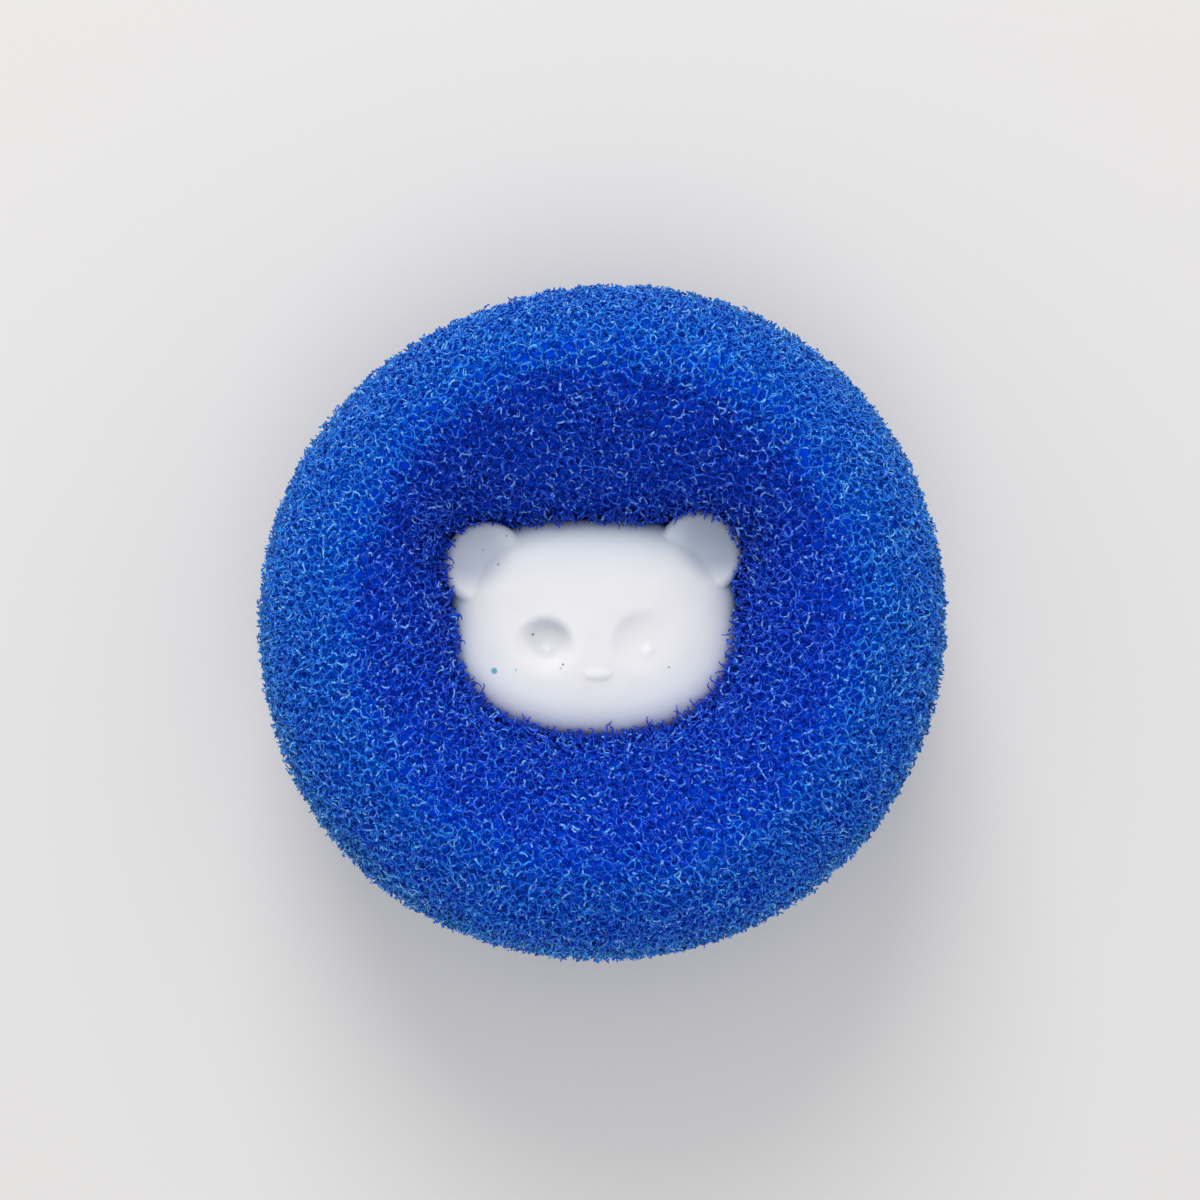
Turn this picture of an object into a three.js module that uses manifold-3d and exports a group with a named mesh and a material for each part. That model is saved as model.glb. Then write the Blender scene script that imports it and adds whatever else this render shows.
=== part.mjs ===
// Sponge laundry ball: a thick doughnut of open-cell foam with a hollow plastic
// animal head squeezed into its hole, face up. Millimetres, +Z up: the ring lies on
// its flat underside at z = 0, its axis is Z, and the ears point towards +Y.
import * as THREE from "three";
import { mergeVertices } from "three/addons/utils/BufferGeometryUtils.js";
import Module from "manifold-3d";

// ---- foam ring ---------------------------------------------------------------
const RING_R = 35.0; // outer radius across X
const RING_Y = 0.988; // the ring is a little shorter along Y
const RING_H = 38.0; // height, crest to underside
const CREST_R = 25.0; // radius of the edge round the bowl in its top,
const CREST_MORE = 0.9; // and how much more it is along Y
const CREST_IN = 5.5; // from that edge in to the middle of the outside's curve
const BOWL = 0.42; // how straight the bowl's wall is, between the lip and the edge
const LAND_IN = 19.6; // flat ring on the underside that it rests on
const LAND_OUT = 25.6;
const LIP_UP = 26.0; // heights where the foam presses on the head
const LIP_DOWN = 13.4;
const LIP_A = 13.35; // half width of the hole's lip
const LIP_TOP = 10.3; // from the head's centre to the lip above the forehead
const LIP_E_TOP = 3.2; // it is drawn almost straight between the ears
const LIP_CHIN = 10.3; // and to the lip below the chin
const LIP_E_CHIN = 2.4;
const NOTCH = 3.2; // the ears push the foam this far out of the hole's wall,
const NOTCH_WIDE = 0.36; // over this angle,
const NOTCH_TALL = 14.0; // fading out over this height
const FIT_GAP = 0.45; // between foam and head
const RING_STEPS = 96;

// ---- head --------------------------------------------------------------------
const HOLE_X = -0.85; // middle of the hole's lip
const HOLE_Y = -1.3;
const HEAD_X = -1.15; // the head is pressed in by hand, a little off the middle
const HEAD_Y = -1.3;
const HEAD_TURN = 0.07; // and turned by 4 degrees about Y
const HEAD_Z = 19.7; // height of the rim where the two shells meet
const HEAD_A = 14.75; // half width
const HEAD_B = 11.3; // half height, chin to crown
const HEAD_C = 9.0; // half depth
const HEAD_E = 2.6; // squareness seen from the front,
const HEAD_E_MORE = 0.25; // more of it at the crown than at the chin
const HEAD_N = 3.8; // squareness seen from the side
const WALL = 1.4; // moulded wall
const RIM_GAP = 0.12; // open seam between the shells
const TONGUE_IN = 0.75; // the front shell's tongue starts this far inside
const TONGUE_LEN = 1.6;
const REBATE_IN = 0.55; // the rear shell's wall left outside the tongue
const REBATE_LEN = 1.9;
const EARS = [
  [-11.0, 6.2], // ear centres, from the head's centre
  [10.4, 7.5],
];
const EAR_X = 10.7; // and their mean
const EAR_Y = 6.85;
const EAR_Z = 5.5;
const EAR_R = 4.3;
const EAR_T = 2.0; // half thickness
const EAR_ROUND = 1.0; // rounding of an ear's edge
const EYE_X = 5.45;
const EYE_Y = -2.1;
const EYE_A = 2.8; // eye recess, half axes
const EYE_B = 2.4;
const EYE_DEPTH = 0.75;
const EYE_TILT = 0.4; // the recesses slope down and outwards
const DOT_X = 4.95;
const DOT_Y = -2.5;
const DOT_R = 0.62;
const NOSE_Y = -4.85;
const NOSE_A = 1.4;
const NOSE_B = 0.6;
const NOSE_C = 0.5;

const wasm = await Module();
wasm.setup();

// ---- solids ------------------------------------------------------------------
function toSolid(geometry) {
  const g = geometry.clone();
  g.deleteAttribute("normal");
  g.deleteAttribute("uv");
  const merged = mergeVertices(g, 1e-4);
  return new wasm.Manifold(
    new wasm.Mesh({
      numProp: 3,
      vertProperties: new Float32Array(merged.attributes.position.array),
      triVerts: new Uint32Array(merged.index.array),
    }),
  );
}

function toGeometry(solid) {
  const m = solid.getMesh();
  const v = new Float32Array(m.numVert * 3);
  for (let i = 0; i < m.numVert; i++)
    v.set(m.vertProperties.subarray(i * m.numProp, i * m.numProp + 3), i * 3);
  const g = new THREE.BufferGeometry();
  g.setAttribute("position", new THREE.BufferAttribute(v, 3));
  g.setIndex(new THREE.BufferAttribute(new Uint32Array(m.triVerts), 1));
  g.computeVertexNormals();
  return g;
}

const smooth = (t) => {
  const k = Math.min(1, Math.max(0, t));
  return k * k * (3 - 2 * k);
};

// The head's outline seen from the front, as a power that is 1 on the outline.
function headPlan(x, y, a = HEAD_A, b = HEAD_B) {
  const e = HEAD_E + (HEAD_E_MORE * y) / Math.sqrt(y * y + 9);
  return Math.pow(
    Math.pow(Math.abs(x / a), e) + Math.pow(Math.abs(y / b), e),
    HEAD_N / e,
  );
}

// The longest distance, up to 20, for which a test that starts true stays true.
function reach(within) {
  let near = 0,
    far = 20;
  for (let k = 0; k < 30; k++) {
    const mid = (near + far) / 2;
    if (within(mid)) near = mid;
    else far = mid;
  }
  return near;
}

// The head's rounded-square ball, drawn in by an even margin.
function headBall(inset, around, up) {
  const g = new THREE.SphereGeometry(1, around, up);
  g.rotateX(Math.PI / 2);
  const p = g.attributes.position;
  const a = HEAD_A - inset,
    b = HEAD_B - inset,
    c = HEAD_C - inset;
  for (let i = 0; i < p.count; i++) {
    const x = p.getX(i),
      y = p.getY(i),
      z = p.getZ(i);
    const r = reach(
      (t) =>
        headPlan(x * t, y * t, a, b) +
          Math.pow(Math.abs((z * t) / c), HEAD_N) <
        1,
    );
    p.setXYZ(i, x * r, y * r, z * r);
  }
  return toSolid(g);
}

// An ear: a flat disc with a round edge.
function earDisc(x, y) {
  const side = [];
  for (const half of [-1, 1])
    for (let k = 0; k <= 4; k++) {
      const f = (Math.PI / 8) * (half < 0 ? k - 4 : k);
      side.push(
        new THREE.Vector2(
          EAR_R - EAR_ROUND + EAR_ROUND * Math.cos(f),
          half * (EAR_T - EAR_ROUND) + EAR_ROUND * Math.sin(f),
        ),
      );
    }
  const g = new THREE.LatheGeometry(
    [new THREE.Vector2(0, -EAR_T), ...side, new THREE.Vector2(0, EAR_T)],
    32,
  );
  g.rotateX(Math.PI / 2);
  g.translate(x, y, EAR_Z);
  return toSolid(g);
}

function ellipsoid(a, b, c, x, y, z, tilt = 0, around = 20, up = 12) {
  const g = new THREE.SphereGeometry(1, around, up);
  g.rotateX(Math.PI / 2);
  g.scale(a, b, c);
  g.rotateZ(tilt);
  g.translate(x, y, z);
  return toSolid(g);
}

function slab(low, high) {
  const g = new THREE.BoxGeometry(60, 60, high - low);
  g.translate(0, 0, (low + high) / 2);
  return toSolid(g);
}

// Height of the face above the rim at a point seen from the front.
function faceHeight(x, y) {
  return HEAD_C * Math.pow(Math.max(0, 1 - headPlan(x, y)), 1 / HEAD_N);
}

// ---- head shells, about the head's own centre ---------------------------------
const outside = EARS.reduce(
  (solid, [x, y]) => solid.add(earDisc(x, y)),
  headBall(0, 44, 24),
);
const inside = headBall(WALL, 28, 14);
const wall = outside.subtract(inside);

const tongue = headBall(TONGUE_IN, 44, 24)
  .subtract(inside)
  .intersect(slab(-TONGUE_LEN, 0.8));
let front = wall.intersect(slab(RIM_GAP / 2, 30)).add(tongue);
for (const side of [-1, 1]) {
  const ex = side * EYE_X,
    dx = side * DOT_X;
  front = front
    .subtract(
      ellipsoid(
        EYE_A,
        EYE_B,
        EYE_DEPTH,
        ex,
        EYE_Y,
        faceHeight(ex, EYE_Y),
        -side * EYE_TILT,
      ),
    )
    .add(
      ellipsoid(
        DOT_R,
        DOT_R,
        DOT_R,
        dx,
        DOT_Y,
        faceHeight(dx, DOT_Y) - EYE_DEPTH,
        0,
        12,
        8,
      ),
    );
}
front = front.add(
  ellipsoid(NOSE_A, NOSE_B, NOSE_C, 0, NOSE_Y, faceHeight(0, NOSE_Y), 0, 16, 10),
);

const rear = wall
  .intersect(slab(-30, -RIM_GAP / 2))
  .subtract(headBall(REBATE_IN, 44, 24).intersect(slab(-REBATE_LEN, 2)));

// ---- foam ring ----------------------------------------------------------------
// Radius of the head and ears, from the hole's axis, in a direction and at a height.
function headRadius(angle, z) {
  const turnCos = Math.cos(HEAD_TURN),
    turnSin = Math.sin(HEAD_TURN);
  // A point of that ray in the head's own frame.
  const own = (r) => {
    const x = HOLE_X - HEAD_X + r * Math.cos(angle),
      dz = z - HEAD_Z;
    return [
      x * turnCos - dz * turnSin,
      HOLE_Y - HEAD_Y + r * Math.sin(angle),
      x * turnSin + dz * turnCos,
    ];
  };
  const within = (r) => {
    const [x, y, h] = own(r);
    return headPlan(x, y) + Math.pow(Math.abs(h / HEAD_C), HEAD_N) < 1;
  };
  let r = within(0) ? reach(within) : 0;
  // The ears' clearance is the same shape, grown by the gap.
  const from = own(0),
    to = own(1);
  for (const [ex, ey] of EARS) {
    const px = from[0] - ex,
      py = from[1] - ey,
      dx = to[0] - from[0],
      dy = to[1] - from[1],
      dz = to[2] - from[2];
    const a = dx * dx + dy * dy,
      b = px * dx + py * dy;
    const h = Math.abs(from[2] - (dz * b) / a - EAR_Z);
    if (h >= EAR_T + FIT_GAP) continue;
    const edge = EAR_ROUND + FIT_GAP,
      over = Math.max(0, h - EAR_T + EAR_ROUND);
    const wide = EAR_R - EAR_ROUND + Math.sqrt(edge * edge - over * over);
    const root = b * b - a * (px * px + py * py - wide * wide);
    if (b < 0 && root > 0) r = Math.max(r, (-b + Math.sqrt(root)) / a - FIT_GAP);
  }
  return r;
}

// The hole's lip: a rounded rectangle, lower over the forehead than under the chin.
function plainLip(angle) {
  const up = Math.sin(angle) > 0;
  const b = up ? LIP_TOP : LIP_CHIN;
  const e = up ? LIP_E_TOP : LIP_E_CHIN;
  return Math.pow(
    Math.pow(Math.abs(Math.cos(angle) / LIP_A), e) +
      Math.pow(Math.abs(Math.sin(angle) / b), e),
    -1 / e,
  );
}

const EAR_ANGLE = Math.atan2(EAR_Y, EAR_X);

// The turned head has one ear higher than the other.
function earHeight(angle) {
  const side = Math.cos(angle) > 0 ? 1 : -1;
  return HEAD_Z + EAR_Z - side * EAR_X * Math.sin(HEAD_TURN);
}

// The lip's radius close to the ears, which it follows.
function lipRadius(angle) {
  const folded = Math.acos(Math.abs(Math.cos(angle)));
  const atEar = Math.sin(angle) > 0 && Math.abs(folded - EAR_ANGLE) < 0.45;
  return Math.max(
    plainLip(angle),
    atEar ? headRadius(angle, earHeight(angle)) + FIT_GAP : 0,
  );
}

// The softer hollow that each ear leaves in the wall further away from it.
function hollow(angle, away) {
  if (Math.sin(angle) < -0.5) return 0;
  const turn = angle > 1.5 * Math.PI ? angle - 2 * Math.PI : angle;
  const d =
    Math.min(
      Math.abs(turn - EAR_ANGLE),
      Math.abs(turn - Math.PI + EAR_ANGLE),
    ) / NOTCH_WIDE;
  const t = Math.min(1, Math.max(0, away / NOTCH_TALL));
  return NOTCH * Math.exp(-d * d) * (1 - t * t * (3 - 2 * t));
}

// Radius of the hole's wall: the sharp notch at the lip turns into the soft hollow.
function wallRadius(angle, away, edge, bend) {
  const t = Math.min(1, Math.max(0, away / 4));
  const s = t * t * (3 - 2 * t);
  const sharp = edge + (lipRadius(angle) - edge) * bend;
  const soft = edge + (plainLip(angle) - edge) * bend + hollow(angle, away);
  return sharp + (soft - sharp) * s;
}

// One closed section of the ring, from the bowl's edge over the outside, along the
// flat underside, up the hole's wall and up the bowl, as [x, y, z] points.
function ringSection(angle) {
  const co = Math.cos(angle),
    si = Math.sin(angle);
  const points = [];
  const mid = RING_H / 2;
  const crest = CREST_R + CREST_MORE * si * si;
  const outer = (r, z) => points.push([r * co, r * si * RING_Y, z]);
  const wide = RING_R - crest + CREST_IN;
  const tall = mid / Math.sqrt(1 - (CREST_IN / wide) ** 2);
  for (let k = 0; k <= 8; k++) {
    const f = Math.asin(mid / tall) * (1 - k / 8);
    outer(crest - CREST_IN + wide * Math.cos(f), mid + tall * Math.sin(f));
  }
  for (let k = 1; k <= 6; k++) {
    const f = (Math.PI / 2) * (k / 6);
    outer(
      LAND_OUT + (RING_R - LAND_OUT) * Math.cos(f),
      mid - mid * Math.sin(f),
    );
  }
  // Up the hole: the section's centre moves from the ring's axis to the hole's, and
  // the lip's height follows the turned head.
  const lipUp = LIP_UP - LIP_A * co * Math.sin(HEAD_TURN);
  const levels = [];
  for (let k = 0; k < 7; k++) {
    const f = (Math.PI / 2) * (1 - k / 7);
    const z = LIP_DOWN * (1 - Math.sin(f));
    levels.push([
      z,
      wallRadius(angle, LIP_DOWN - z, LAND_IN, Math.cos(f)),
      smooth(z / 5),
    ]);
  }
  for (let k = 0; k <= 9; k++)
    levels.push([
      LIP_DOWN + ((lipUp - LIP_DOWN) * k) / 9,
      lipRadius(angle),
      1,
    ]);
  for (let k = 1; k < 10; k++) {
    const t = k / 10,
      f = (Math.PI / 2) * t;
    const out = (1 - BOWL) * (1 - Math.cos(f)) + BOWL * t,
      rise = (1 - BOWL) * Math.sin(f) + BOWL * t;
    const z = lipUp + (RING_H - lipUp) * rise;
    const lip = lipRadius(angle),
      soft = plainLip(angle) + hollow(angle, 0) * (1 - smooth(t / 0.85));
    const base = lip + (soft - lip) * smooth((z - lipUp) / 4);
    levels.push([z, base + (crest - base) * out, 1 - smooth(t)]);
  }
  for (const [z, arc, s] of levels) {
    const r = Math.max(arc, s > 0.7 ? headRadius(angle, z) + FIT_GAP : 0);
    const flat = 1 - (1 - RING_Y) * (1 - s);
    points.push([HOLE_X * s + r * co, HOLE_Y * s + r * si * flat, z]);
  }
  return points;
}

const rows = [];
for (let i = 0; i < RING_STEPS; i++)
  rows.push(ringSection((i / RING_STEPS) * 2 * Math.PI));
const count = rows[0].length;
const ringIndex = [];
for (let i = 0; i < RING_STEPS; i++) {
  const a = i * count,
    b = ((i + 1) % RING_STEPS) * count;
  for (let k = 0; k < count; k++) {
    const n = (k + 1) % count;
    ringIndex.push(a + k, a + n, b + n, a + k, b + n, b + k);
  }
}
const ringGeometry = new THREE.BufferGeometry();
ringGeometry.setAttribute(
  "position",
  new THREE.BufferAttribute(new Float32Array(rows.flat(2)), 3),
);
ringGeometry.setIndex(ringIndex);
ringGeometry.computeVertexNormals();

// ---- assembly -----------------------------------------------------------------
const foamBlue = new THREE.MeshStandardMaterial({
  color: 0x1a47a9,
  roughness: 0.75,
  metalness: 0,
});
const white = new THREE.MeshStandardMaterial({
  color: 0xe9eaee,
  roughness: 0.45,
  metalness: 0,
});
const whiteRear = white.clone();
whiteRear.color.set(0xe4e6ea);

function piece(name, geometry, material) {
  const mesh = new THREE.Mesh(geometry, material);
  mesh.name = name;
  return mesh;
}

const ball = new THREE.Group();
ball.add(piece("sponge_ring", ringGeometry, foamBlue));
const head = new THREE.Group();
head.position.set(HEAD_X, HEAD_Y, HEAD_Z);
head.rotation.y = HEAD_TURN;
head.add(piece("head_front_shell", toGeometry(front), white));
head.add(piece("head_rear_shell", toGeometry(rear), whiteRear));
ball.add(head);

export default ball;
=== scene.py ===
import sys
import math

import bpy
import numpy as np
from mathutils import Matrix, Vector
from mathutils.bvhtree import BVHTree


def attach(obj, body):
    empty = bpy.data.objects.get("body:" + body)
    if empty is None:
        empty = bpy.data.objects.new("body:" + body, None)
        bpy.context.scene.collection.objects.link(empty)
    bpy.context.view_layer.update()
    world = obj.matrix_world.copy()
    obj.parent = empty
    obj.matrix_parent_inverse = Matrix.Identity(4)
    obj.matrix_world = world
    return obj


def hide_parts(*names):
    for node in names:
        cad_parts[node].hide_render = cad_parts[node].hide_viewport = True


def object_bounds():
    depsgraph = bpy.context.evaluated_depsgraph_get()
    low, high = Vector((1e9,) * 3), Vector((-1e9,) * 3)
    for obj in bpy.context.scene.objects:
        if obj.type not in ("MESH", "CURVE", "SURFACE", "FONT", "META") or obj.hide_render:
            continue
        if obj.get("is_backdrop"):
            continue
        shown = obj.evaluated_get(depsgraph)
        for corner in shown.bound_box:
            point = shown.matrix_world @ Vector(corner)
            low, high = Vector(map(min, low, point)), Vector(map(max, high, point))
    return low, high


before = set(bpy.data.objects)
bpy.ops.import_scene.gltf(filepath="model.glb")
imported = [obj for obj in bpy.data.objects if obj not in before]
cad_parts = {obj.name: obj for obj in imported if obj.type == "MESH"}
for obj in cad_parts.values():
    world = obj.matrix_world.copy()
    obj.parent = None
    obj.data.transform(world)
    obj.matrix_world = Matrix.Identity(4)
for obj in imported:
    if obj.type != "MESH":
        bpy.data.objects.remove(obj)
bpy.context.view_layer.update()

MM = 0.001
scene = bpy.context.scene
rng = np.random.default_rng(71)

# ---------------------------------------------------------------- sizes, in mm
# Foam ring
RING_R, RING_Y, RING_H = 35.0, 0.988, 38.0
CREST_R, CREST_MORE = 25.0, 0.9  # radius of the edge round the bowl, and how much more it is along Y
CREST_IN = 5.5  # from that edge in to the middle of the outside's curve
BOWL = 0.42  # how straight the bowl's wall is between lip and edge
LAND_IN, LAND_OUT = 19.6, 25.6
LIP_UP, LIP_DOWN = 26.0, 13.4
LIP_A, LIP_TOP, LIP_E_TOP, LIP_CHIN, LIP_E_CHIN = 13.35, 10.3, 3.2, 10.3, 2.4
NOTCH, NOTCH_WIDE, NOTCH_TALL = 3.2, 0.36, 14.0
FIT_GAP = 0.25  # the foam fits closer here than the solid parts do
# Head
HOLE = np.array([-0.85, -1.3])  # middle of the hole's lip
HEAD = np.array([-1.15, -1.3, 19.7])
HEAD_TURN = 0.07  # pressed in by hand, so turned a little about Y
HEAD_A, HEAD_B, HEAD_C, HEAD_N = 14.75, 11.3, 9.0, 3.8
HEAD_E, HEAD_E_MORE = 2.6, 0.25  # squareness from the front, more of it at the crown than at the chin
WALL, RIM_GAP = 1.4, 0.12
EARS = ((-11.0, 6.2), (10.4, 7.5))  # the right ear came out of the mould a little higher
EAR_X, EAR_Y, EAR_Z, EAR_R = 10.7, 6.85, 5.5, 4.3
EAR_T, EAR_ROUND = 2.0, 1.0  # half thickness, and the rounding of the ear's edge
EAR_ANGLE = math.atan2(EAR_Y, EAR_X)
# Foam cells: reticulated foam of about 20 pores per inch
CELL = 1.22  # edge of the lattice that the cells start from, two cells in each cube
CELLS = 10  # cubes along one side of the repeating block
STRUT = 0.1  # half thickness of a strut
DEPTH = 1.75  # how deep below the skin the struts are modelled,
DEPTH_HIDDEN = 1.0  # and how deep where the head or the ground hides them
FINE = 0.65  # struts less deep than this are curved and waisted


# ---------------------------------------------------------------- foam shape
def smooth(t):
    t = np.clip(t, 0, 1)
    return t * t * (3 - 2 * t)


TURN_C, TURN_S = math.cos(HEAD_TURN), math.sin(HEAD_TURN)


def own_frame(th, z, r):
    """A point r from the hole's axis, in the head's own frame."""
    x, dz = HOLE[0] - HEAD[0] + r * np.cos(th), z - HEAD[2]
    return np.stack(np.broadcast_arrays(x * TURN_C - dz * TURN_S, HOLE[1] - HEAD[1] + r * np.sin(th), x * TURN_S + dz * TURN_C))


def squareness(y):
    return HEAD_E + HEAD_E_MORE * y / np.sqrt(y * y + 9)


def head_plan(x, y):
    e = squareness(y)
    return (np.abs(x / HEAD_A) ** e + np.abs(y / HEAD_B) ** e) ** (HEAD_N / e)


def head_radius(th, z):
    """Radius of the head and its ears about the hole's axis."""
    def within(r):
        x, y, h = own_frame(th, z, r)
        return head_plan(x, y) + np.abs(h / HEAD_C) ** HEAD_N < 1

    near = 0.0 * th * z
    far = near + 20
    start = within(near)
    for _ in range(22):
        mid = (near + far) / 2
        ok = within(mid)
        near, far = np.where(ok, mid, near), np.where(ok, far, mid)
    r = np.where(start, near, 0)
    o = own_frame(th, z, 0.0)
    d = own_frame(th, z, 1.0) - o
    for ear_x, ear_y in EARS:
        x, y = o[0] - ear_x, o[1] - ear_y
        a, b = d[0] ** 2 + d[1] ** 2, x * d[0] + y * d[1]
        h = np.abs(o[2] - d[2] * b / a - EAR_Z)
        bulge = EAR_ROUND**2 - np.maximum(h - EAR_T + EAR_ROUND, 0) ** 2
        wide = np.where(bulge > 0, EAR_R - EAR_ROUND + np.sqrt(np.maximum(bulge, 0)), 0)
        root = b * b - a * (x * x + y * y - wide**2)
        r = np.where((b < 0) & (root > 0), np.maximum(r, (-b + np.sqrt(np.maximum(root, 0))) / a), r)
    return r


def plain_lip(th):
    up = np.sin(th) > 0
    b, e = np.where(up, LIP_TOP, LIP_CHIN), np.where(up, LIP_E_TOP, LIP_E_CHIN)
    return (np.abs(np.cos(th) / LIP_A) ** e + np.abs(np.sin(th) / b) ** e) ** (-1 / e)


def ear_height(th):
    return HEAD[2] + EAR_Z - np.sign(np.cos(th)) * EAR_X * TURN_S


def lip_radius(th, z):
    """The hole's lip, which follows the ears and leans over their edges a little."""
    folded = np.arccos(np.abs(np.cos(th)))
    at_ear = (np.sin(th) > 0) & (np.abs(folded - EAR_ANGLE) < 0.45)
    lean = 0.3 - 1.5 * smooth((z - ear_height(th) - 1.5) / 1.0)
    # The foam bridges the corners at both ends of an ear.
    end = folded - 0.07 * np.sign(np.cos(th))
    corner = (0.15 * np.exp(-(((end - 0.20) / 0.06) ** 2)) + 0.9 * np.exp(-(((end - 0.91) / 0.06) ** 2))) * (np.sin(th) > 0)
    return np.maximum(plain_lip(th) + corner, np.where(at_ear, head_radius(th, ear_height(th)) + lean, 0))


def hollow(th, away):
    turn = np.where(th > 1.5 * np.pi, th - 2 * np.pi, th)
    d = np.minimum(np.abs(turn - EAR_ANGLE), np.abs(turn - np.pi + EAR_ANGLE)) / NOTCH_WIDE
    return np.where(np.sin(th) < -0.5, 0, NOTCH * np.exp(-d * d) * (1 - smooth(away / NOTCH_TALL)))


def wall_radius(th, z, away, edge, bend):
    s = smooth(away / 4)
    sharp = edge + (lip_radius(th, z) - edge) * bend
    soft = edge + (plain_lip(th) - edge) * bend + hollow(th, away)
    return sharp + (soft - sharp) * s


def crest_radius(th):
    return CREST_R + CREST_MORE * np.sin(th) ** 2


def ring_points(around=288):
    """The foam's skin as a grid of points: around the ring, by along its closed section."""
    th = (np.arange(around) / around * 2 * np.pi)[:, None]
    co, si = np.cos(th), np.sin(th)
    # Cut and pressed by hand, so not quite round.
    rim = RING_R * (1 + 0.005 * np.cos(2 * (th - 0.75)) + 0.0022 * np.sin(3 * th + 0.6))
    rim = rim * (0.9958 + 0.0073 * np.cos(th - 4.61) + 0.0044 * np.cos(2 * th - 0.90)
                 + 0.0041 * np.cos(3 * th - 3.47) + 0.0045 * np.cos(4 * th - 3.54) + 0.0020 * np.cos(5 * th - 0.34))
    crest = crest_radius(th)
    parts = []
    mid = RING_H / 2
    # The outside, from the bowl's edge down to the widest level.
    wide = rim - crest + CREST_IN
    tall = mid / np.sqrt(1 - (CREST_IN / wide) ** 2)
    f = np.arcsin(mid / tall) * (1 - np.arange(0, 31) / 30)[None]
    r, z = crest - CREST_IN + wide * np.cos(f), mid + tall * np.sin(f)
    parts.append((r * co, r * si * RING_Y, z))
    f = (np.pi / 2 * (np.arange(1, 27) / 26))[None]
    r, z = LAND_OUT + (rim - LAND_OUT) * np.cos(f), mid - mid * np.sin(f) + 0 * th
    parts.append((r * co, r * si * RING_Y, z))
    # Up through the hole to the lip, which follows the turned head.
    folded = np.arccos(np.abs(co))
    lip_up = LIP_UP - LIP_A * co * TURN_S + 0.55 * np.exp(-(((folded - EAR_ANGLE) / 0.33) ** 4)) * (si > 0)
    levels = []
    for k in range(22):
        f = np.pi / 2 * (1 - k / 22)
        z = LIP_DOWN * (1 - math.sin(f)) + 0 * th
        levels.append((z, wall_radius(th, z, LIP_DOWN - z, LAND_IN, math.cos(f)), smooth(np.minimum(1, z / 5))))
    for k in range(29):
        z = LIP_DOWN + (lip_up - LIP_DOWN) * k / 28
        levels.append((z, lip_radius(th, z), 1.0 + 0 * th))
    # The bowl's wall, from the lip to the edge.
    for k in range(1, 30):
        t = k / 30
        f = np.pi / 2 * t
        out, rise = (1 - BOWL) * (1 - math.cos(f)) + BOWL * t, (1 - BOWL) * math.sin(f) + BOWL * t
        z = lip_up + (RING_H - lip_up) * rise
        soft = plain_lip(th) + hollow(th, 0 * z) * (1 - smooth(t / 0.85))
        base = lip_radius(th, z)
        base = base + (soft - base) * smooth((z - lip_up) / 4)
        levels.append((z, base + (crest - base) * out, 1 - smooth(t) + 0 * th))
    for z, arc, s in levels:
        r = np.where(s > 0.7, np.maximum(arc, head_radius(th, z) + FIT_GAP), arc)
        flat = 1 - (1 - RING_Y) * (1 - s)
        parts.append((HOLE[0] * s + r * co, HOLE[1] * s + r * si * flat, z))
    grid = np.stack([np.concatenate([np.broadcast_to(p[k], (around, p[2].shape[1])) for p in parts], 1) for k in range(3)], -1)
    # The bowl's edge is worn round.
    near = np.arange(-6, 7)
    for _ in range(14):
        grid[:, near] = 0.5 * grid[:, near] + 0.25 * (grid[:, near - 1] + grid[:, near + 1])
    return grid


def grid_quads(n, m):
    i, k = np.meshgrid(np.arange(n), np.arange(m), indexing="ij")
    a, b = i * m, (i + 1) % n * m
    j = (k + 1) % m
    return np.stack([a + k, a + j, b + j, b + k], -1).reshape(-1, 4)


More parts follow.
